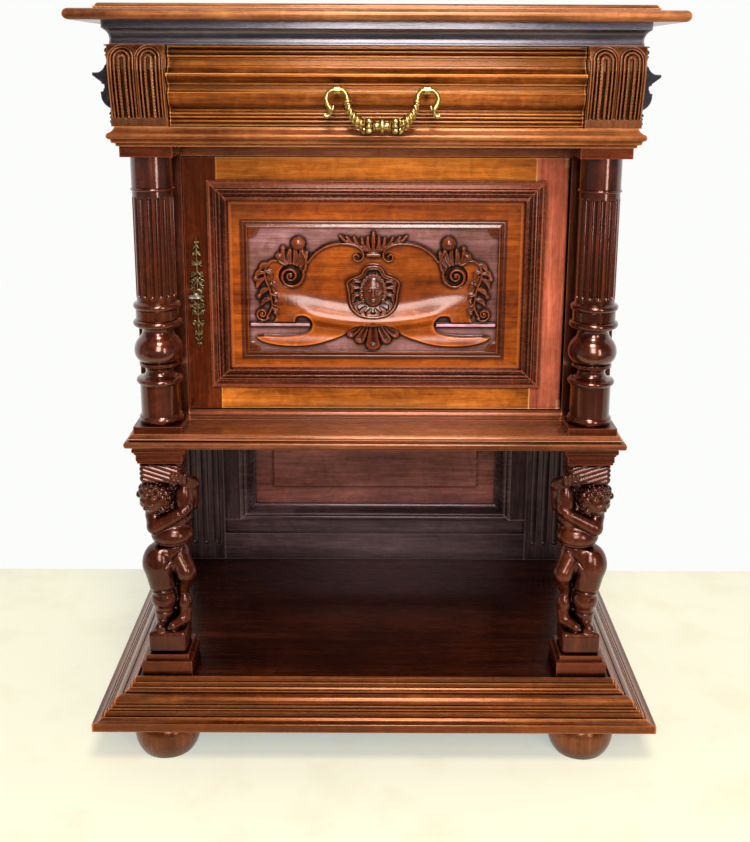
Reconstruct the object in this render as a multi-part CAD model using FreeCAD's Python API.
import FreeCAD, Part
import math
import os

# Cabinet on stand in carved walnut: a case with one door and a drawer above it, carried by two
# carved putti and a framed back on a moulded base with bun feet.
# The origin is on the floor under the middle of the base. X runs to the right, Y to the back and
# Z up. Sizes are in millimetres.

Vector = FreeCAD.Vector
QUARTER = math.tan(math.pi / 8)
HALF = 1.0

# Plan of the body: the case takes its width from the door, and the shelf, the frieze and the corbels
# follow the case
door_width = 636.0
door_gap = 1.5
case_stile_width = 80.5
body_step = 9.0
case_depth = 424.0
porch_depth = 100.0
back_thickness = 12.0

# Heights of the storeys, from the floor up
foot_height = 74.0
base_height = 61.0
putto_plinth_height = 39.0
putto_height = 349.0
capital_height = 27.0
waist_thickness = 26.0
case_height = 468.0
frieze_thickness = 30.0
bay_height = 123.0
cornice_height = 34.0
top_thickness = 16.5
tier_thickness = 9.5

# How far each moulded edge stands out from the body
base_moulding_width = 66.0
waist_overhang = 3.5
frieze_overhang = 6.5
cornice_overhang = 5.5
cornice_width = 30.0
top_overhang = 51.5
tier_overhang = 15.0
bay_projection = 29.0

# Base and feet
shelf_thickness = 20.0
base_lip = 6.0
back_rail_thickness = 24.0
corner_block_size = 95.0
foot_radius = 57.0
foot_flat_radius = 45.0
foot_neck_radius = 38.0
foot_inset_x = 113.0
foot_inset_y = 82.0
spigot_radius = 10.0
spigot_length = 25.0
spigot_clearance = 0.2

# Supports at the front corners
support_inset = 42.0
support_setback = 50.0
putto_plinth_size = 86.0
putto_plinth_step = 6.0
putto_ground_size = 66.0
putto_ground_height = 39.0
cushion_height = 31.0
cushion_size = 70.0
capital_size = 74.0
capital_overhang = 7.0

# Framed lower back
pilaster_width = 80.0
pilaster_proud = 6.0
pilaster_flutes = 3
pilaster_flute_radius = 8.0
pilaster_flute_end = 40.0
lower_rail_height = 88.0
lower_fascia_height = 58.0
lower_fascia_proud = 5.0
upper_rail_height = 60.0
lower_stile_width = 33.0
lower_moulding_width = 32.0
lower_moulding_proud = 9.0
lower_panel_thickness = 12.0
lower_field_margin = 37.0
lower_field_proud = 6.0

# Columns
column_plinth_size = 80.0
column_plinth_height = 11.5
abacus_size = 82.0
abacus_height = 17.0
column_flutes = 16
column_flute_radius = 4.4
shaft_radius = 32.5
bulb_share = 1.23
neck_radius = 33.0
neck_height = 50.0
flute_low = 212.0
flute_high = 376.0

# Case
stile_thickness = 24.0
stile_lap = 10.0
side_thickness = 24.0
side_frame_width = 60.0
side_panel_thickness = 16.0
sill_height = 16.5
sill_proud = 12.0
head_height = 21.5
inner_shelf_thickness = 18.0
inner_shelf_height = 212.0
inner_shelf_front_gap = 14.0
bearer_size = 20.0

# Door
door_thickness = 22.0
door_stile_width = 55.0
door_rail_height = 54.0
bolection_width = 42.0
bolection_lap = 16.5
bolection_proud = 9.0
door_panel_sink = 6.0
door_panel_thickness = 12.0
carved_margin_side = 23.5
carved_margin_top = 25.5
carved_margin_bottom = 13.0
carved_field_proud = 3.0
carved_border_width = 5.0
carved_border_proud = 3.0
cartouche_proud = 8.0
shield_proud = 4.0
mask_radius = 20.0
mask_proud = 16.0
pivot_inset = 7.0
pin_radius = 3.0
pin_length = 26.0
bush_radius = 5.0
bush_length = 16.0
running_clearance = 0.05

# Lock, key and key plate
key_inset = 19.0
key_height = 200.0
lock_width = 42.0
lock_tall = 66.0
lock_thickness = 13.0
lock_wall = 1.5
bolt_height = 12.0
bolt_length = 30.0
bolt_throw = 8.0
bolt_depth = 7.0
bolt_clearance = 0.3
key_radius = 2.5
key_bit_reach = 9.0
key_bit_depth = 6.0
key_bit_width = 2.5
key_reach = 24.0
key_bow_width = 24.0
key_bow_length = 15.0
key_bow_thickness = 3.4
keyhole_radius = 3.0
plate_width = 26.0
plate_tall = 190.0
plate_thickness = 2.2

# Drawer
drawer_gap = 1.3
drawer_front_thickness = 18.0
drawer_front_setback = 25.0
drawer_length = 376.0
drawer_side_inset = 12.5
drawer_side_thickness = 12.0
drawer_side_height = 100.0
drawer_bottom_thickness = 6.0
drawer_bottom_rise = 6.0
drawer_groove = 5.0
runner_height = 6.0
runner_width = 32.0
guide_height = 20.0
guide_width = 12.0
slide_clearance = 0.3
sub_top_thickness = 20.0
kicker_width = 18.0
kicker_clearance = 3.0

# Corbels, which leave the drawer's width between them
corbel_width = 87.2
corbel_depth = 74.0
corbel_swell = 10.0
corbel_foot_back = 6.0
corbel_band = 16.0
corbel_flute_width = 8.0
corbel_flute_depth = 3.5
corbel_flute_pitch = 12.0
frieze_side_thickness = 28.0
side_moulding_setback = 22.0

# Bail handle, a little to the right of the drawer's middle
handle_offset = 8.5
post_spacing = 136.0
post_rise = 57.0
post_radius = 4.0
post_head_radius = 7.0
post_head_width = 9.0
post_nut_radius = 6.5
post_nut_thickness = 4.0
post_clearance = 0.2
bail_radius = 3.2
bail_clearance = 0.5
bail_drop = 53.0
bail_reach = 15.0
grip_half_length = 32.0
grip_bead_radius = 11.5
grip_disc_thickness = 3.5

# Levels
z_base = foot_height
z_shelf = z_base + base_height
z_putto = z_shelf + putto_plinth_height
z_capital = z_putto + putto_height
z_waist = z_capital + capital_height
z_case = z_waist + waist_thickness
z_frieze = z_case + case_height
z_bay = z_frieze + frieze_thickness
z_cornice = z_bay + bay_height
z_top = z_cornice + cornice_height
z_tier = z_top + top_thickness

# Planes
door_half = door_width / 2
x_opening = door_half + door_gap
x_case = x_opening + case_stile_width
x_body = x_case + body_step
y_back = (case_depth + porch_depth + base_moulding_width) / 2
y_door = y_back - case_depth
y_body = y_door - porch_depth
y_rear = y_back - back_thickness
support_x = x_case - support_inset
support_y = y_body + support_setback

parts = {}


def block(x_low, x_high, y_low, y_high, z_low, z_high):
    """Box between two corners."""
    return Part.makeBox(x_high - x_low, y_high - y_low, z_high - z_low, Vector(x_low, y_low, z_low))


def cylinder(radius, length, start, direction):
    """Round bar from a start point along a direction."""
    return Part.makeCylinder(radius, length, Vector(*start), Vector(*direction))


def swollen(start, end, swell):
    """Middle of an arc that swells to the right of its travel by a share of half its chord."""
    du = end[0] - start[0]
    dv = end[1] - start[1]
    return (start[0] + end[0] + swell * dv) / 2, (start[1] + end[1] - swell * du) / 2


def upright_swell(inset, rise):
    """Swell of an arc that ends upright after drawing in by an inset over a rise."""
    return math.tan(math.atan2(inset, rise) / 2)


def wire(points, place):
    """Closed outline through (u, v) corners; a third number makes the side that ends there an arc."""
    edges = []
    for start, end in zip(points[-1:] + points[:-1], points):
        if math.dist(start[:2], end[:2]) < 1e-6:
            continue
        if len(end) > 2 and end[2]:
            middle = swollen(start, end, end[2])
            arc = Part.Arc(place(*start[:2]), place(*middle), place(*end[:2]))
            edges.append(arc.toShape())
        else:
            edges.append(Part.LineSegment(place(*start[:2]), place(*end[:2])).toShape())
    return Part.Wire(edges)


def prism(points, place, direction):
    """Solid of an outline pushed along a direction."""
    return Part.Face(wire(points, place)).extrude(direction)


def turned(profile, x, y, z):
    """Solid turned about an upright axis from (radius, height) corners."""
    face = Part.Face(wire(profile, lambda u, v: Vector(x + u, y, z + v)))
    return face.revolve(Vector(x, y, z), Vector(0, 0, 1), 360)


def joined(shapes):
    """One solid from pieces that overlap."""
    return shapes[0].multiFuse(shapes[1:]).removeSplitter()


def mirrored(shape):
    """The same piece on the other side of the cabinet."""
    return shape.mirror(Vector(0, 0, 0), Vector(1, 0, 0))


def scaled_section(shares, reach, height, z_low):
    """Moulding section in millimetres from (projection, rise) shares of its reach and height."""
    return [(share[0] * reach, z_low + share[1] * height) + tuple(share[2:]) for share in shares]


def falling(section):
    """The section seen from the other end: mirrored in its projection and read downwards."""
    swells = [point[2] if len(point) > 2 else 0.0 for point in section[1:]] + [0.0]
    return [(-point[0], point[1], swell) for point, swell in zip(section, swells)][::-1]


def slab_outline(section, low, high, plain_high):
    """Cross-section of a slab from low to high whose ends follow the moulding section."""
    bottom, top = section[0][1], section[-1][1]
    if plain_high:
        rising = [(high, bottom), (high, top)]
    else:
        rising = [(high + section[0][0], bottom)]
        rising += [(high + point[0],) + tuple(point[1:]) for point in section[1:]]
    down = [(low + point[0],) + tuple(point[1:]) for point in falling(section)]
    down[0] = down[0][:2]
    return rising + down


def moulded_slab(section, x_low, x_high, y_low, y_high, plain_back):
    """Slab with its section worked on the front, both ends and, unless plain, the back."""
    reach = 1.0 + max(abs(point[0]) for point in section)
    across = prism(slab_outline(section, y_low, y_high, plain_back),
                   lambda u, v: Vector(x_low - reach, u, v),
                   Vector(x_high - x_low + 2 * reach, 0, 0))
    along = prism(slab_outline(section, x_low, x_high, False),
                  lambda u, v: Vector(u, y_low - reach, v),
                  Vector(0, y_high - y_low + 2 * reach, 0))
    return across.common(along)


def mitred_lengths(section, x_half, y_front, width):
    """Front, left and right lengths of a moulding that runs round the body to the back."""
    reach = max(point[0] for point in section)
    z_low, z_high = section[0][1], section[-1][1]
    closed = section + [(-width, z_high), (-width, z_low)]
    front = prism(closed, lambda u, v: Vector(-x_half - reach, y_front - u, v),
                  Vector(2 * (x_half + reach), 0, 0))
    right = prism(closed, lambda u, v: Vector(x_half + u, y_front - reach, v),
                  Vector(0, y_back - y_front + reach, 0))
    near, far = x_half - width, x_half + reach
    plan = [(-far, y_front - reach), (far, y_front - reach), (near, y_front + width),
            (-near, y_front + width)]
    mitre = prism(plan, lambda u, v: Vector(u, v, z_low), Vector(0, 0, z_high - z_low))
    right = right.cut(mitre)
    return front.common(mitre), mirrored(right), right


def mitred_frame(section, x_half, z_low, z_high, y_face):
    """Four mitred lengths round a rectangle; the section is (inwards, proud of the face)."""
    deep = max(point[0] for point in section)
    lengths = []
    x_mid, z_mid = x_half - deep, (z_high - z_low) / 2 - deep
    centre = (z_low + z_high) / 2
    for side in (-1, 1):
        rail = prism(section, lambda u, v: Vector(-x_half, y_face - v, centre + side * (centre - z_low - u)),
                     Vector(2 * x_half, 0, 0))
        rise = side * (centre - z_low)
        plan = [(-x_half, centre + rise), (x_half, centre + rise),
                (x_mid, centre + side * z_mid), (-x_mid, centre + side * z_mid)]
        lengths.append(rail.common(through_plate(plan, y_face, deep)))
        stile = prism(section, lambda u, v: Vector(side * (x_half - u), y_face - v, z_low),
                      Vector(0, 0, z_high - z_low))
        plan = [(side * x_half, z_low), (side * x_half, z_high),
                (side * x_mid, centre + z_mid), (side * x_mid, centre - z_mid)]
        lengths.append(stile.common(through_plate(plan, y_face, deep)))
    return Part.makeCompound(lengths)


def through_plate(plan, y_face, deep):
    """Upright plate of an outline in X and Z, thick enough to hold a moulding on a face."""
    return prism(plan, lambda u, v: Vector(u, y_face - deep, v), Vector(0, 2 * deep, 0))


def capsule(radius, start, end):
    """Round-ended bar, the shape of a flute cutter."""
    axis = end - start
    bar = Part.makeCylinder(radius, axis.Length, start, axis)
    return joined([bar, Part.makeSphere(radius, start), Part.makeSphere(radius, end)])


def limb(start, end, start_radius, end_radius):
    """Tapered limb with a ball at each end."""
    axis = end - start
    pieces = [Part.makeSphere(start_radius, start), Part.makeSphere(end_radius, end)]
    if abs(start_radius - end_radius) > 0.05:
        pieces.append(Part.makeCone(start_radius, end_radius, axis.Length, start, axis))
    else:
        pieces.append(Part.makeCylinder(start_radius, axis.Length, start, axis))
    return pieces


# Feet: turned buns with a spigot that is glued into the corner block above

def foot(x, y):
    belly = foot_height * 0.48
    neck = foot_height * 0.94
    profile = [(0, 0), (foot_flat_radius, 0),
               (foot_radius, belly, upright_swell(foot_radius - foot_flat_radius, belly)),
               (foot_neck_radius, neck, upright_swell(foot_radius - foot_neck_radius, neck - belly)),
               (foot_neck_radius, foot_height), (spigot_radius, foot_height),
               (spigot_radius, foot_height + spigot_length), (0, foot_height + spigot_length)]
    return turned(profile, x, y, 0)


foot_x = x_body + base_moulding_width - foot_inset_x
foot_front_y = y_body - base_moulding_width + foot_inset_y
foot_rear_y = y_back - foot_inset_y
parts["foot_front_left"] = foot(-foot_x, foot_front_y)
parts["foot_front_right"] = foot(foot_x, foot_front_y)
parts["foot_rear_left"] = foot(-foot_x, foot_rear_y)
parts["foot_rear_right"] = foot(foot_x, foot_rear_y)

# Base: mitred mouldings, back rail and corner blocks under the shelf board

base_shares = [(1.0, 0.0), (1.0, 0.19), (0.975, 0.22, QUARTER), (0.8, 0.295, -QUARTER),
               (0.75, 0.265), (0.74, 0.33), (0.725, 0.385), (0.69, 0.405), (0.66, 0.38), (0.65, 0.43),
               (0.63, 0.44), (0.6, 0.41), (0.59, 0.465), (0.58, 0.49), (0.56, 0.5), (0.53, 0.475),
               (0.52, 0.54), (0.335, 0.69, QUARTER), (0.295, 0.655), (0.285, 0.735),
               (0.18, 0.785, -QUARTER), (0.15, 0.755), (0.14, 0.82), (0.13, 0.875), (0.11, 0.89),
               (0.08, 0.86), (0.07, 0.93), (0.06, 0.98), (0.03, 1.0), (0.0, 1.0)]
base_section = scaled_section(base_shares, base_moulding_width, base_height + base_lip, z_base)
base_front, base_left, base_right = mitred_lengths(base_section, x_body, y_body, 0.0)
parts["base_moulding_front"] = base_front
parts["base_moulding_left"] = base_left
parts["base_moulding_right"] = base_right
z_shelf_under = z_shelf - shelf_thickness
parts["base_shelf"] = block(-x_body, x_body, y_body, y_back, z_shelf_under, z_shelf)
y_base_rail = y_back - back_rail_thickness
parts["base_back_rail"] = block(-x_body, x_body, y_base_rail, y_back, z_base, z_shelf_under)


def corner_block(x_low, y_low, foot_y):
    shape = block(x_low, x_low + corner_block_size, y_low, y_low + corner_block_size,
                  z_base, z_shelf_under)
    hole = cylinder(spigot_radius + spigot_clearance, spigot_length + spigot_clearance,
                    (foot_x, foot_y, z_base), (0, 0, 1))
    return shape.cut(hole)


block_x = x_body - corner_block_size
right_blocks = [corner_block(block_x, y_body, foot_front_y),
                corner_block(block_x, y_base_rail - corner_block_size, foot_rear_y)]
parts["base_corner_blocks"] = Part.makeCompound(right_blocks + [mirrored(shape) for shape in right_blocks])

# Supports: a plinth, a carved putto that lifts a cushion, and a moulded capital

plinth_rise = putto_plinth_height * 0.73
plinth_section = [(0, z_shelf), (0, z_shelf + plinth_rise),
                  (-putto_plinth_step, z_shelf + plinth_rise * 1.06), (-putto_plinth_step, z_putto)]
capital_shares = [(0.0, 0.0), (0.0, 0.12), (0.25, 0.2), (0.25, 0.42), (0.55, 0.62, -QUARTER),
                  (0.55, 0.7), (1.0, 0.9, QUARTER), (1.0, 1.0)]
capital_section = scaled_section(capital_shares, capital_overhang, capital_height, z_capital)


def centred_slab(section, size):
    half = size / 2
    return moulded_slab(section, support_x - half, support_x + half, support_y - half,
                        support_y + half, False)


# Masses of the figure as (towards the cabinet's middle, forwards, up from the ground block) with a
# radius at each end, drawn for a figure of this many millimetres and grown with the real one
putto_drawn_height = 279
putto_limbs = [
    ((2, -6, 138), (8, 4, 170), 25, 28),
    ((8, 4, 170), (6, -1, 206), 28, 24),
    ((-18, 0, 209), (24, -2, 219), 15, 14),
    ((-12, 5, 122), (-8, 7, 77), 27, 19.5),
    ((-12, 5, 122), (0, -5, 142), 27, 24),
    ((-8, 4, 66), (-8, 2, 45), 17, 18.5),
    ((-8, 2, 45), (-9, 1, 10), 18, 13),
    ((-9, 0, 8), (-14, 22, 5), 12, 9),
    ((13, -2, 139), (33, 12, 105), 20, 17),
    ((33, 12, 105), (24, -6, 60), 16, 11),
    ((24, -6, 60), (28, 1, 28), 12, 12),
    ((28, 1, 22), (9, 22, 8), 12, 8),
    ((-19, 4, 209), (-15, 17, 192), 15, 14.5),
    ((-15, 17, 192), (36, 18, 219), 14.5, 10),
    ((33, 5, 217), (35, 8, 254), 14, 15),
    ((42, -8, 222), (47, -6, 252), 10, 12.5),
    ((45, -3, 259), (32, 13, 276), 11, 10),
    ((-2, 0, 214), (-13, 6, 234), 13, 16),
    ((-15, 7, 240), (-15, 7, 255), 24, 24.5),
]


def putto():
    """Right-hand figure: ground block, fused limbs and the cushion under the capital."""
    half = putto_ground_size / 2
    ground = block(support_x - half, support_x + half, support_y - half, support_y + half,
                   z_putto, z_putto + putto_ground_height)
    pieces = [ground.makeFillet(putto_ground_height * 0.2, ground.Edges)]
    z_ground = z_putto + putto_ground_height
    grow = (putto_height - putto_ground_height - cushion_height) / putto_drawn_height
    for start, end, start_radius, end_radius in putto_limbs:
        ends = [Vector(support_x - point[0] * grow, support_y - point[1] * grow, z_ground + point[2] * grow)
                for point in (start, end)]
        pieces += limb(ends[0], ends[1], start_radius * grow, end_radius * grow)
    half = cushion_size / 2
    cushion = block(support_x - half, support_x + half, support_y - half, support_y + half,
                    z_capital - cushion_height, z_capital)
    pieces.append(cushion.makeFillet(cushion_height * 0.3, [edge for edge in cushion.Edges
                                     if edge.BoundBox.ZMax < z_capital - 1]))
    return joined(pieces)


putto_plinth = centred_slab(plinth_section, putto_plinth_size)
putto_capital = centred_slab(capital_section, capital_size)
figure = putto()
parts["putto_plinths"] = Part.makeCompound([mirrored(putto_plinth), putto_plinth])
parts["putto_left"] = mirrored(figure)
parts["putto_right"] = figure
parts["putto_capitals"] = Part.makeCompound([mirrored(putto_capital), putto_capital])

# Lower back: fluted pilasters, rails, stiles, applied moulding and a raised panel

y_lower_back = y_back - back_rail_thickness
x_pilaster = x_case - pilaster_width


def pilaster():
    front = y_lower_back - pilaster_proud
    shape = block(x_pilaster, x_case, front, y_back, z_shelf, z_waist)
    pitch = pilaster_width / (pilaster_flutes + 0.4)
    for index in range(pilaster_flutes):
        x = x_pilaster + pilaster_width / 2 + (index - (pilaster_flutes - 1) / 2) * pitch
        y = front - pilaster_flute_radius * 0.3
        shape = shape.cut(capsule(pilaster_flute_radius, Vector(x, y, z_shelf + pilaster_flute_end),
                                  Vector(x, y, z_waist - pilaster_flute_end)))
    return shape


parts["pilaster_right"] = pilaster()
parts["pilaster_left"] = mirrored(parts["pilaster_right"])
z_lower_rail = z_shelf + lower_rail_height
z_upper_rail = z_waist - upper_rail_height
bottom_rail = block(-x_pilaster, x_pilaster, y_lower_back, y_back, z_shelf, z_lower_rail)
fascia = block(-x_pilaster, x_pilaster, y_lower_back - lower_fascia_proud, y_lower_back,
               z_shelf, z_shelf + lower_fascia_height)
top_rail = block(-x_pilaster, x_pilaster, y_lower_back, y_back, z_upper_rail, z_waist)
parts["lower_back_rails"] = Part.makeCompound([joined([bottom_rail, fascia]), top_rail])
x_lower_opening = x_pilaster - lower_stile_width
lower_stile = block(x_lower_opening, x_pilaster, y_lower_back, y_back, z_lower_rail, z_upper_rail)
parts["lower_back_stiles"] = Part.makeCompound([mirrored(lower_stile), lower_stile])
y_lower_panel = y_back - lower_panel_thickness
lower_panel = block(-x_lower_opening, x_lower_opening, y_lower_panel, y_back, z_lower_rail, z_upper_rail)
field_inset = lower_moulding_width + lower_field_margin
lower_field = block(-x_lower_opening + field_inset, x_lower_opening - field_inset,
                    y_lower_panel - lower_field_proud, y_lower_panel,
                    z_lower_rail + field_inset, z_upper_rail - field_inset)
lower_field = lower_field.makeChamfer(lower_field_proud * 0.9, [
    edge for edge in lower_field.Edges if edge.BoundBox.YMax < y_lower_panel - lower_field_proud / 2])
parts["lower_back_panel"] = joined([lower_panel, lower_field])
lower_deep = y_lower_panel - y_lower_back
lower_moulding_section = [(lower_moulding_width, -lower_deep), (lower_moulding_width, -lower_deep + 3),
                          (lower_moulding_width * 0.6, lower_moulding_proud * 0.3, -0.25),
                          (lower_moulding_width * 0.55, lower_moulding_proud * 0.5),
                          (lower_moulding_width * 0.3, lower_moulding_proud * 0.5, 0.6),
                          (lower_moulding_width * 0.27, lower_moulding_proud * 0.35),
                          (0, lower_moulding_proud * 0.35, 0.3), (0, -lower_deep)]
parts["lower_back_moulding"] = mitred_frame(lower_moulding_section, x_lower_opening, z_lower_rail,
                                            z_upper_rail, y_lower_back)

# Waist: the floor of the case, one board with a moulded edge

waist_shares = [(-11.0, 0.0), (-11.0, 0.1), (-6.0, 0.13), (0.0, 0.36, 0.5), (-3.0, 0.57, 0.5),
                (-7.5, 0.56), (-7.5, 0.64), (-4.0, 0.7), (-10.0, 0.94, -0.25), (-10.0, 1.0)]
waist_section = scaled_section(waist_shares, 1.0, waist_thickness, z_waist)
x_waist = x_body + waist_overhang
parts["waist_board"] = moulded_slab(waist_section, -x_waist, x_waist, y_body - waist_overhang, y_back, True)

# Columns on plinths, under abaci

z_column = z_case + column_plinth_height
z_abacus = z_frieze - abacus_height
column_height = z_abacus - z_column


def support_block(size, z_low, z_high):
    half = size / 2
    return block(support_x - half, support_x + half, support_y - half, y_door, z_low, z_high)


def column():
    rings = [(1.046, 0.0), (1.046, 0.4, 0.4), (1.015, 0.415), (1.015, 2.03), (1.046, 2.06),
             (1.046, 2.37, 0.9), (0.954, 2.4), (0.954, 2.985, -0.88), (1.003, 3.0), (1.003, 3.14),
             (0.892, 3.17),
             (bulb_share, 3.754, upright_swell(bulb_share - 0.892, 0.584)),
             (0.954, 4.431, upright_swell(bulb_share - 0.954, 0.677)), (0.785, 4.738, -0.15),
             (0.892, 4.985, -0.3), (1.046, 5.015), (1.046, 5.385, HALF), (1.077, 5.415), (1.077, 5.877),
             (1.046, 5.908), (1.046, 6.262, 0.85), (1.0, 6.308)]
    neck = column_height - neck_height
    bead = neck_height * 0.1
    profile = [(0, 0)] + [(ring[0] * shaft_radius, ring[1] * shaft_radius) + ring[2:] for ring in rings]
    profile += [(shaft_radius, neck - bead), (shaft_radius, neck, HALF), (neck_radius, neck + bead * 0.2),
                (neck_radius, column_height), (0, column_height)]
    shape = turned(profile, support_x, support_y, z_column)
    cutters = []
    for index in range(column_flutes):
        angle = 2 * math.pi * index / column_flutes
        x = support_x + (shaft_radius + 1.0) * math.cos(angle)
        y = support_y + (shaft_radius + 1.0) * math.sin(angle)
        cutters.append(capsule(column_flute_radius, Vector(x, y, z_column + flute_low + column_flute_radius),
                               Vector(x, y, z_column + flute_high - column_flute_radius)))
    return shape.cut(Part.makeCompound(cutters))


column_plinth = support_block(column_plinth_size, z_case, z_column)
abacus = support_block(abacus_size, z_abacus, z_frieze)
parts["column_plinths"] = Part.makeCompound([mirrored(column_plinth), column_plinth])
parts["column_right"] = column()
parts["column_left"] = mirrored(parts["column_right"])
parts["column_abaci"] = Part.makeCompound([mirrored(abacus), abacus])

# Case: front stiles, sill, head rail, framed sides, back boards and a loose shelf

y_case = y_door + stile_thickness
right_stile = block(x_opening, x_case, y_door, y_case, z_case, z_frieze)
left_stile = mirrored(right_stile)
y_stop = y_door + door_thickness + slide_clearance
door_stop = block(-x_opening, -x_opening + stile_lap, y_stop, y_stop + stile_lap, z_case + sill_height,
                  z_frieze - head_height)
stop_root = block(-x_opening - stile_lap, -x_opening, y_case, y_stop + stile_lap, z_case + sill_height,
                  z_frieze - head_height)
z_sill = z_case + sill_height
z_head = z_frieze - head_height
sill_points = [(y_case, z_case), (y_case, z_sill), (y_door - sill_proud * 0.3, z_sill),
               (y_door - sill_proud * 0.9, z_case + sill_height * 0.35, QUARTER),
               (y_door - sill_proud, z_case + sill_height * 0.3), (y_door - sill_proud, z_case)]
door_sill = prism(sill_points, lambda u, v: Vector(-x_opening, u, v), Vector(2 * x_opening, 0, 0))
head_rail = block(-x_opening, x_opening, y_door, y_case, z_head, z_frieze)

# The door turns on two pins, one in the sill and one in the head rail
pivot_x = door_half - pivot_inset
pivot_y = y_door + pivot_inset
z_door = z_sill + door_gap
z_door_top = z_head - door_gap
pin_in_case = pin_length - bush_length + door_gap
low_pin = cylinder(pin_radius, pin_length - door_gap,
                   (pivot_x, pivot_y, z_sill - pin_in_case + door_gap), (0, 0, 1))
high_pin = cylinder(pin_radius, pin_length - door_gap,
                    (pivot_x, pivot_y, z_head + pin_in_case - door_gap), (0, 0, -1))
parts["door_pivot_pins"] = Part.makeCompound([low_pin, high_pin])
parts["door_sill"] = door_sill.cut(Part.makeCompound([low_pin, column_plinth, mirrored(column_plinth)]))
parts["case_head_rail"] = head_rail.cut(high_pin)
key_x = -(door_half - key_inset)
z_key = z_door + key_height
z_bolt = z_key + key_bit_reach + bolt_clearance
y_lock = y_door + door_thickness - lock_thickness
bolt_y = y_lock + (lock_thickness - bolt_depth) / 2
strike = block(-x_opening - bolt_throw - bolt_clearance, -x_opening, bolt_y - bolt_clearance,
               bolt_y + bolt_depth + bolt_clearance, z_bolt - bolt_clearance,
               z_bolt + bolt_height + bolt_clearance)
left_stile = joined([left_stile, door_stop, stop_root]).cut(strike)
parts["case_stiles"] = Part.makeCompound([left_stile, right_stile])

x_side = x_case - side_thickness
z_side_low = z_case + side_frame_width
z_side_high = z_frieze - side_frame_width
y_side_low = y_case + side_frame_width
y_side_high = y_rear - side_frame_width
side_frame = [block(x_side, x_case, y_case, y_side_low, z_case, z_frieze),
              block(x_side, x_case, y_side_high, y_rear, z_case, z_frieze),
              block(x_side, x_case, y_side_low, y_side_high, z_case, z_side_low),
              block(x_side, x_case, y_side_low, y_side_high, z_side_high, z_frieze)]
x_panel_face = x_side + side_panel_thickness
side_panel = block(x_side, x_panel_face, y_side_low, y_side_high, z_side_low, z_side_high)
side_field = block(x_panel_face, x_case - 2.0, y_side_low + side_frame_width * 0.5,
                   y_side_high - side_frame_width * 0.5, z_side_low + side_frame_width * 0.5,
                   z_side_high - side_frame_width * 0.5)
side_field = side_field.makeChamfer((x_case - 2.0 - x_panel_face) * 0.9, [
    edge for edge in side_field.Edges if edge.BoundBox.XMin > x_panel_face + 1.0])
side_panel = joined([side_panel, side_field])
parts["case_side_frames"] = Part.makeCompound([mirrored(shape) for shape in side_frame] + side_frame)
parts["case_side_panels"] = Part.makeCompound([mirrored(side_panel), side_panel])
case_back = block(-x_case, x_case, y_rear, y_back, z_case, z_frieze)
x_frieze_side = x_body - frieze_side_thickness
z_sub_top = z_top - sub_top_thickness
bay_back = block(-x_frieze_side, x_frieze_side, y_rear, y_back, z_bay, z_sub_top)
parts["case_backs"] = Part.makeCompound([case_back, bay_back])
z_inner_shelf = z_case + inner_shelf_height
parts["case_shelf"] = block(-x_side, x_side, y_stop + stile_lap + inner_shelf_front_gap, y_rear,
                            z_inner_shelf, z_inner_shelf + inner_shelf_thickness)
bearer = block(x_side - bearer_size, x_side, y_case, y_rear, z_inner_shelf - bearer_size, z_inner_shelf)
parts["shelf_bearers"] = Part.makeCompound([mirrored(bearer), bearer])

# Door: stiles, rails, bolection moulding and carved panel

y_door_back = y_door + door_thickness
x_frame = door_half - door_stile_width
z_frame_low = z_door + door_rail_height
z_frame_high = z_door_top - door_rail_height
pivot_hole_low = cylinder(bush_radius, bush_length, (pivot_x, pivot_y, z_door), (0, 0, 1))
pivot_hole_high = cylinder(bush_radius, bush_length, (pivot_x, pivot_y, z_door_top), (0, 0, -1))
hinge_stile = block(x_frame, door_half, y_door, y_door_back, z_door, z_door_top)
rounded = [edge for edge in hinge_stile.Edges
           if edge.BoundBox.XMin > door_half - 1.0 and edge.BoundBox.YMax < y_door + 1.0]
hinge_stile = hinge_stile.makeFillet(pivot_inset - 0.5, rounded)
parts["door_stile_right"] = hinge_stile.cut(pivot_hole_low).cut(pivot_hole_high)
z_lock = z_key - lock_tall / 2
lock_case_outer = block(-door_half, -door_half + lock_width, y_lock, y_door_back, z_lock, z_lock + lock_tall)
key_hole = cylinder(keyhole_radius, door_thickness, (key_x, y_door, z_key), (0, 1, 0))
lock_stile = block(-door_half, -x_frame, y_door, y_door_back, z_door, z_door_top)
parts["door_stile_left"] = lock_stile.cut(lock_case_outer).cut(key_hole)
bottom_door_rail = block(-x_frame, x_frame, y_door, y_door_back, z_door, z_frame_low)
top_door_rail = block(-x_frame, x_frame, y_door, y_door_back, z_frame_high, z_door_top)
parts["door_rails"] = Part.makeCompound([bottom_door_rail, top_door_rail])
bolection_shares = [(0.77, 0.95, -0.35), (0.74, 0.98), (0.7, 0.93, 0.3), (0.61, 0.7, 0.3), (0.605, 0.53),
                    (0.555, 0.53), (0.545, 0.7), (0.46, 0.67, 0.5), (0.445, 0.44), (0.395, 0.44),
                    (0.385, 0.62), (0.34, 0.58), (0.33, 0.33), (0.3, 0.33), (0.29, 0.51), (0.145, 0.29),
                    (0.135, 0.09), (0.075, 0.09), (0.065, 0.21), (0.0, 0.18, 0.8)]
bolection_section = [(bolection_width, -door_panel_sink), (bolection_width, -door_panel_sink / 3 * 2)]
bolection_section += scaled_section(bolection_shares, bolection_width, bolection_proud, 0.0)
bolection_section += [(0, 0), (bolection_lap, 0), (bolection_lap, -door_panel_sink)]
parts["door_moulding"] = mitred_frame(bolection_section, x_frame + bolection_lap,
                                      z_frame_low - bolection_lap, z_frame_high + bolection_lap, y_door)
y_panel = y_door + door_panel_sink
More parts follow.
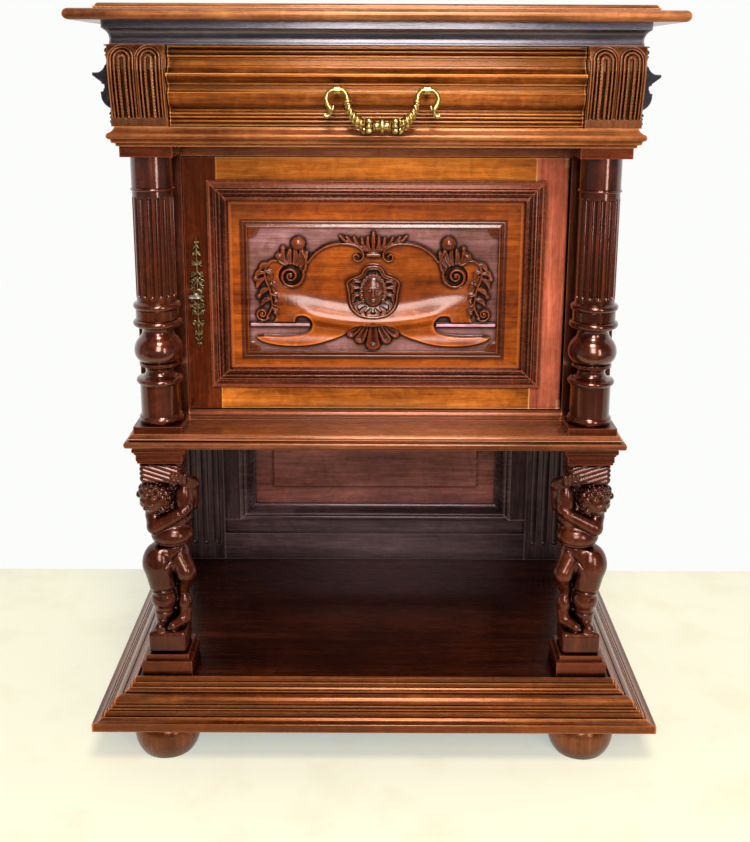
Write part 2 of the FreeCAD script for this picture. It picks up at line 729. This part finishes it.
panel_inset = bolection_width - bolection_lap
x_field = x_frame - panel_inset - carved_margin_side
z_field_low = z_frame_low + panel_inset + carved_margin_bottom
z_field_high = z_frame_high - panel_inset - carved_margin_top
y_field = y_panel - carved_field_proud
door_panel = block(-x_frame, x_frame, y_panel, y_panel + door_panel_thickness, z_frame_low, z_frame_high)
carved_field = block(-x_field, x_field, y_field, y_panel, z_field_low, z_field_high)
y_border = y_field - carved_border_proud
inside_border = block(-x_field + carved_border_width, x_field - carved_border_width, y_border, y_field,
                      z_field_low + carved_border_width, z_field_high - carved_border_width)
carved_border = block(-x_field, x_field, y_border, y_field, z_field_low, z_field_high).cut(inside_border)
field_mid = (z_field_low + z_field_high) / 2

# The relief is drawn in steps of this size from the field's middle, so that it fills the field
carve_x = x_field / 214
carve_z = (z_field_high - z_field_low) / 230
carve = min(carve_x, carve_z)


def relief_point(u, v):
    """Place on the field of a point of the drawing."""
    return Vector(u * carve_x, y_field, field_mid + v * carve_z)


def carved(outline, proud):
    """Relief of an outline of the drawing."""
    return prism(outline, relief_point, Vector(0, -proud, 0))


def relief_disc(u, v, radius, proud):
    """Round boss of the relief, such as a volute or a bud."""
    return Part.makeCylinder(radius * carve, proud, relief_point(u, v), Vector(0, -1, 0))


def relief_fan(v, reach, count, spread, proud):
    """Lobes of a shell or palmette that open away from a root on the middle line."""
    lobes = []
    for index in range(count):
        angle = spread * (index / (count - 1) - 0.5)
        tip = relief_point(abs(reach) * math.sin(angle), v + reach * math.cos(angle))
        lobes += limb(relief_point(0, v), tip, proud / 2, proud)
    return lobes


def cartouche():
    """Swelling cartouche with a shield and mask, volutes, buds, slots, a palmette and a shell."""
    half = [(0, 62), (26, 58), (52, 76, 0.5), (96, 58, 0.25), (112, 34), (168, 36), (170, -56, 0.1),
            (110, -56), (104, -72, 0.6), (196, -84, -0.1), (120, -104, 0.2), (44, -70, -0.2), (0, -62)]
    body = carved(half, cartouche_proud)
    shield = [(0, 48), (44, 26, 0.2), (40, -20, 0.15), (0, -47, 0.3)]
    plate = carved(shield, cartouche_proud + shield_proud)
    relief = [body, mirrored(body), plate, mirrored(plate)]
    mask_centre = relief_point(0, 0) + Vector(0, mask_radius - mask_proud, 0)
    relief.append(Part.makeSphere(mask_radius, mask_centre))
    for u, v, radius in ((138, 30, 20), (126, 77, 12), (110, 62, 9), (150, 62, 10), (176, 38, 9),
                         (190, 10, 9), (184, -12, 8), (183, -38, 13)):
        relief += [relief_disc(u, v, radius, cartouche_proud), relief_disc(-u, v, radius, cartouche_proud)]
    bar = carved([(104, -62), (210, -62), (210, -56), (104, -56)], cartouche_proud * 0.7)
    relief += [bar, mirrored(bar)]
    relief += relief_fan(68, 30.0, 5, 2.4, cartouche_proud * 0.8)
    relief += relief_fan(-62, -34.0, 5, 2.0, cartouche_proud)
    return joined(relief).common(block(-x_field, x_field, y_field - mask_proud, y_field, z_field_low,
                                       z_field_high))


parts["door_panel"] = joined([door_panel, carved_field, carved_border, cartouche()])
bush_hole = pin_radius + running_clearance
bushes = []
for z_start, way in ((z_door, 1), (z_door_top, -1)):
    sleeve = cylinder(bush_radius, bush_length, (pivot_x, pivot_y, z_start), (0, 0, way))
    bushes.append(sleeve.cut(cylinder(bush_hole, bush_length, (pivot_x, pivot_y, z_start), (0, 0, way))))
parts["door_pivot_bushes"] = Part.makeCompound(bushes)

# Lock: hollow case let into the back of the door, sliding bolt, key and pierced key plate

lock_hollow = block(-door_half + lock_wall, -door_half + lock_width - lock_wall, y_lock + lock_wall,
                    y_door_back - lock_wall, z_lock + lock_wall, z_lock + lock_tall - lock_wall)
bolt_slot = block(-door_half, -door_half + lock_wall, bolt_y - bolt_clearance,
                  bolt_y + bolt_depth + bolt_clearance, z_bolt - bolt_clearance,
                  z_bolt + bolt_height + bolt_clearance)
parts["lock_case"] = lock_case_outer.cut(lock_hollow).cut(bolt_slot).cut(key_hole)
parts["lock_bolt"] = block(-door_half, -door_half + bolt_length, bolt_y, bolt_y + bolt_depth, z_bolt,
                           z_bolt + bolt_height)


def key_plate():
    """Pierced plate: an oval middle, stems of rings to both ends and leaf tips."""
    half = plate_tall / 2
    front = y_door - plate_thickness
    pieces = []
    holes = []
    for side in (-1, 1):
        for rise, radius in ((0.16, 0.5), (0.4, 0.42), (0.62, 0.36), (0.82, 0.26)):
            centre = (key_x, front, z_key + side * rise * half)
            pieces.append(cylinder(plate_width * radius, plate_thickness, centre, (0, 1, 0)))
            if rise > 0.3:
                holes.append(cylinder(plate_width * radius * 0.45, plate_thickness, centre, (0, 1, 0)))
        tip = [(key_x - plate_width * 0.16, z_key + side * half * 0.84),
               (key_x + plate_width * 0.16, z_key + side * half * 0.84), (key_x, z_key + side * half)]
        pieces.append(prism(tip, lambda u, v: Vector(u, front, v), Vector(0, plate_thickness, 0)))
    stem = plate_width * 0.12
    pieces.append(block(key_x - stem, key_x + stem, front, y_door, z_key - half * 0.9, z_key + half * 0.9))
    holes.append(cylinder(keyhole_radius, plate_thickness, (key_x, front, z_key), (0, 1, 0)))
    return joined(pieces).cut(Part.makeCompound(holes))


def key():
    """Key at rest with its bow level and its bit inside the lock case."""
    y_bit = y_lock + lock_wall + bolt_clearance
    y_bow = y_door - key_reach
    y_end = y_bit + key_bit_depth
    stem = cylinder(key_radius, y_end - y_bow, (key_x, y_bow, z_key), (0, 1, 0))
    bit = block(key_x, key_x + key_bit_reach, y_bit, y_end, z_key - key_bit_width / 2,
                z_key + key_bit_width / 2)
    half = key_bow_width / 2
    corner = key_bow_length / 2
    low = z_key - key_bow_thickness / 2
    left, right = key_x - half + corner, key_x + half - corner
    bow = [(left, y_bow - key_bow_length, HALF), (right, y_bow - key_bow_length), (right, y_bow, HALF),
           (left, y_bow)]
    plate = prism(bow, lambda u, v: Vector(u, v, low), Vector(0, 0, key_bow_thickness))
    eyes = [cylinder(corner * 0.55, key_bow_thickness, (x, y_bow - corner, low), (0, 0, 1))
            for x in (left, right)]
    collar = cylinder(key_radius * 1.6, key_radius * 1.4, (key_x, y_bow + key_radius, z_key), (0, 1, 0))
    return joined([stem, bit, plate.cut(Part.makeCompound(eyes)), collar])


parts["key_plate"] = key_plate()
parts["key"] = key()

# Frieze: moulded board on the columns, side boards with mouldings, corbels and drawer runners

frieze_shares = [(-12.0, 0.0), (-12.0, 0.14), (-6.5, 0.18), (-5.5, 0.36), (0.0, 0.53, QUARTER),
                 (-4.0, 0.7, QUARTER), (-11.0, 0.95, -0.2), (-11.0, 1.0)]
frieze_section = scaled_section(frieze_shares, 1.0, frieze_thickness, z_frieze)
x_frieze = x_body + frieze_overhang
parts["frieze_board"] = moulded_slab(frieze_section, -x_frieze, x_frieze, y_body - frieze_overhang,
                                     y_back, True)
y_corbel = y_body + corbel_depth
frieze_side = block(x_frieze_side, x_body, y_corbel, y_back, z_bay, z_cornice)
parts["frieze_sides"] = Part.makeCompound([mirrored(frieze_side), frieze_side])
bay_shares = [(0.07, 0.0), (0.07, 0.028), (0.07, 0.078, 0.9), (0.04, 0.084), (0.07, 0.09),
              (0.1, 0.128, 0.9), (0.09, 0.133), (0.1, 0.137), (0.14, 0.172, 0.9), (0.1, 0.184),
              (0.1, 0.205), (0.07, 0.218), (0.58, 0.39, 0.33), (0.6, 0.423), (0.46, 0.43), (0.43, 0.45),
              (0.43, 0.463), (0.38, 0.468), (0.38, 0.512), (0.53, 0.522), (0.53, 0.54), (0.55, 0.545),
              (1.0, 0.625), (1.0, 0.66), (0.31, 0.75, -QUARTER), (0.24, 0.757), (0.17, 0.82),
              (0.14, 0.825), (0.14, 0.855), (0.28, 0.862), (0.28, 0.882), (0.2, 0.888), (0.17, 0.895),
              (0.17, 0.96, 0.95), (0.14, 0.968), (0.14, 0.98), (0.3, 0.985), (0.3, 1.0)]
side_section = scaled_section(bay_shares, bay_projection, bay_height, z_bay)
side_outline = side_section + [(0.0, z_cornice), (0.0, z_bay)]
side_moulding = prism(side_outline, lambda u, v: Vector(x_body + u, y_body + side_moulding_setback, v),
                      Vector(0, y_back - y_body - side_moulding_setback, 0))
parts["frieze_side_mouldings"] = Part.makeCompound([mirrored(side_moulding), side_moulding])
x_corbel = x_body - corbel_width


def corbel():
    """Barrel-fronted block with two groups of arched flutes over a plain band."""
    points = [(y_corbel, z_cornice), (y_corbel, z_bay), (y_body + corbel_foot_back, z_bay),
              (y_body + corbel_foot_back, z_bay + corbel_band),
              (y_body - corbel_swell, z_bay + bay_height * 0.7, -0.1), (y_body, z_cornice, -0.25)]
    shape = prism(points, lambda u, v: Vector(x_corbel, u, v), Vector(x_body - x_corbel, 0, 0))
    core = shape.translated(Vector(0, corbel_flute_depth, 0))
    half = corbel_flute_width / 2
    low = z_bay + corbel_band + 4.0
    high = z_cornice - corbel_flute_width * 1.5
    middle = (x_corbel + x_body) / 2
    for group in (-1, 1):
        for index in (-1, 0, 1):
            x = middle + group * corbel_width * 0.26 + index * corbel_flute_pitch
            arch = high if index == 0 else high - half
            outline = [(x - half, low), (x + half, low), (x + half, arch), (x - half, arch, HALF)]
            flute = prism(outline, lambda u, v: Vector(u, y_body - 3 * corbel_swell, v),
                          Vector(0, corbel_depth, 0))
            shape = shape.cut(flute.cut(core))
    return shape


parts["corbel_right"] = corbel()
parts["corbel_left"] = mirrored(parts["corbel_right"])

# Drawer, its runners and its bail handle

drawer_half = x_corbel - drawer_gap
y_core = y_body + drawer_front_setback
y_drawer = y_core + drawer_front_thickness
x_drawer_side = drawer_half - drawer_side_inset
z_drawer = z_bay + runner_height + slide_clearance
drawer_section = scaled_section(bay_shares, bay_projection, bay_height - 2 * drawer_gap, z_bay + drawer_gap)
drawer_outline = drawer_section + [(-drawer_front_thickness, z_cornice - drawer_gap),
                                   (-drawer_front_thickness, z_bay + drawer_gap)]
drawer_front = prism(drawer_outline, lambda u, v: Vector(-drawer_half, y_core - u, v),
                     Vector(2 * drawer_half, 0, 0))
x_box = x_drawer_side - drawer_side_thickness
z_bottom = z_drawer + drawer_bottom_rise
y_drawer_end = y_drawer + drawer_length
drawer_bottom = block(-x_box - drawer_groove, x_box + drawer_groove, y_drawer, y_drawer_end, z_bottom,
                      z_bottom + drawer_bottom_thickness)
drawer_side = block(x_box, x_drawer_side, y_drawer, y_drawer_end, z_drawer, z_drawer + drawer_side_height)
drawer_side = drawer_side.cut(drawer_bottom)
parts["drawer_sides"] = Part.makeCompound([mirrored(drawer_side), drawer_side])
parts["drawer_bottom"] = drawer_bottom
parts["drawer_back"] = block(-x_box, x_box, y_drawer_end - drawer_side_thickness, y_drawer_end,
                             z_bottom + drawer_bottom_thickness, z_drawer + drawer_side_height)
guide_x = x_drawer_side + slide_clearance
y_guide = y_drawer + slide_clearance
runner = joined([block(guide_x + guide_width - runner_width, guide_x + guide_width, y_guide, y_rear,
                       z_bay, z_bay + runner_height),
                 block(guide_x, guide_x + guide_width, y_guide, y_rear, z_bay, z_bay + guide_height)])

z_post = z_bay + post_rise
y_pivot = y_core - bay_projection - bail_reach
post_x = post_spacing / 2


def bail_post():
    """Post with a cross-bored head, a tail through the drawer front and a nut behind it."""
    tail_end = y_drawer + 1.5 * post_nut_thickness
    head_start = (post_x - post_head_width / 2, y_pivot, z_post)
    pieces = [cylinder(post_radius, tail_end - y_pivot, (post_x, y_pivot, z_post), (0, 1, 0)),
              cylinder(post_head_radius, post_head_width, head_start, (1, 0, 0))]
    nut = cylinder(post_nut_radius, post_nut_thickness, (post_x, y_drawer, z_post), (0, 1, 0))
    bore = cylinder(bail_radius + running_clearance, post_head_width, head_start, (1, 0, 0))
    return joined(pieces + [nut]).cut(bore)


handle_shift = Vector(handle_offset, 0, 0)
post = bail_post()
post_hole = cylinder(post_radius + post_clearance, drawer_front_thickness + bay_projection,
                     (post_x, y_drawer, z_post), (0, -1, 0))
post_holes = [shape.translated(handle_shift) for shape in (mirrored(post_hole), post_hole)]
parts["drawer_front"] = drawer_front.cut(Part.makeCompound(post_holes))
parts["bail_posts"] = Part.makeCompound([shape.translated(handle_shift) for shape in (mirrored(post), post)])


def bail_arm():
    """Bar that runs through the post's head, down to the grip inside and to a curled tail outside."""
    clear = post_head_width / 2 + bail_radius + bail_clearance
    inner = post_x - clear
    outer = post_x + clear
    grip_x = grip_half_length
    path = [(outer + 4.0, -38.0), (outer + 7.0, -24.0), (outer + 5.0, -8.0), (outer, 0.0), (inner, 0.0),
            (inner - 5.0, -8.0), (inner - 9.0, -22.0), (grip_x + 6.0, -bail_drop * 0.85),
            (grip_x, -bail_drop)]
    path = [Vector(x, y_pivot, z_post + drop) for x, drop in path]
    thick = bail_radius * 1.4
    radii = [bail_radius * 0.6, thick, bail_radius, bail_radius, bail_radius, bail_radius, thick,
             grip_bead_radius * 0.7, grip_bead_radius * 0.6]
    pieces = []
    for index in range(len(path) - 1):
        pieces += limb(path[index], path[index + 1], radii[index], radii[index + 1])
    return pieces


def bail():
    arm = bail_arm()
    z_grip = z_post - bail_drop
    pieces = arm + [mirrored(shape) for shape in arm]
    pieces.append(cylinder(grip_bead_radius * 0.55, 2 * grip_half_length,
                           (-grip_half_length, y_pivot, z_grip), (1, 0, 0)))
    pieces.append(cylinder(grip_bead_radius, grip_disc_thickness,
                           (-grip_disc_thickness / 2, y_pivot, z_grip), (1, 0, 0)))
    for side in (-1, 1):
        bead_x = side * grip_half_length * 0.55
        pieces.append(Part.makeSphere(grip_bead_radius, Vector(bead_x, y_pivot, z_grip)))
    return joined(pieces)


parts["bail"] = bail().translated(handle_shift)

# Top: cove cornice, sub-top with kickers, top board and raised tier

cornice_shares = [(-9.0, 0.0), (-9.0, 0.06), (-2.0, 0.66, -0.35), (0.0, 0.7), (0.0, 1.0)]
cornice_section = scaled_section(cornice_shares, 1.0, cornice_height, z_cornice)
parts["cornice"] = Part.makeCompound(mitred_lengths(cornice_section, x_body + cornice_overhang,
                                                    y_body - cornice_overhang, cornice_width))
x_sub_top = x_body + cornice_overhang - cornice_width
y_sub_top = y_body - cornice_overhang + cornice_width
z_kicker = z_drawer + drawer_side_height + kicker_clearance
kicker = block(x_box, x_box + kicker_width, y_guide, y_rear, z_kicker, z_sub_top)
parts["drawer_guides"] = Part.makeCompound([mirrored(runner), runner, mirrored(kicker), kicker])
parts["sub_top"] = block(-x_sub_top, x_sub_top, y_sub_top, y_back, z_sub_top, z_top)
top_shares = [(-7.0, 0.0), (0.0, 0.5, 0.35), (-7.0, 1.0, 0.35)]
top_section = scaled_section(top_shares, 1.0, top_thickness, z_top)
x_top = x_body + top_overhang
parts["top_board"] = moulded_slab(top_section, -x_top, x_top, y_body - top_overhang, y_back, True)
tier_shares = [(-3.0, 0.0), (-3.0, 0.15), (0.0, 0.2), (0.0, 0.45), (-3.0, 0.5), (-9.0, 1.0, QUARTER)]
tier_section = scaled_section(tier_shares, 1.0, tier_thickness, z_tier)
x_tier = x_body + tier_overhang
parts["top_tier"] = moulded_slab(tier_section, -x_tier, x_tier, y_body - tier_overhang, y_back, True)

os.makedirs("parts", exist_ok=True)
for name, shape in parts.items():
    shape.exportStep(os.path.join("parts", name + ".step"))
    box = shape.BoundBox
    print(name, len(shape.Solids), shape.isValid(), round(shape.Volume), [round(value, 1) for value in (
        box.XMin, box.XMax, box.YMin, box.YMax, box.ZMin, box.ZMax)])
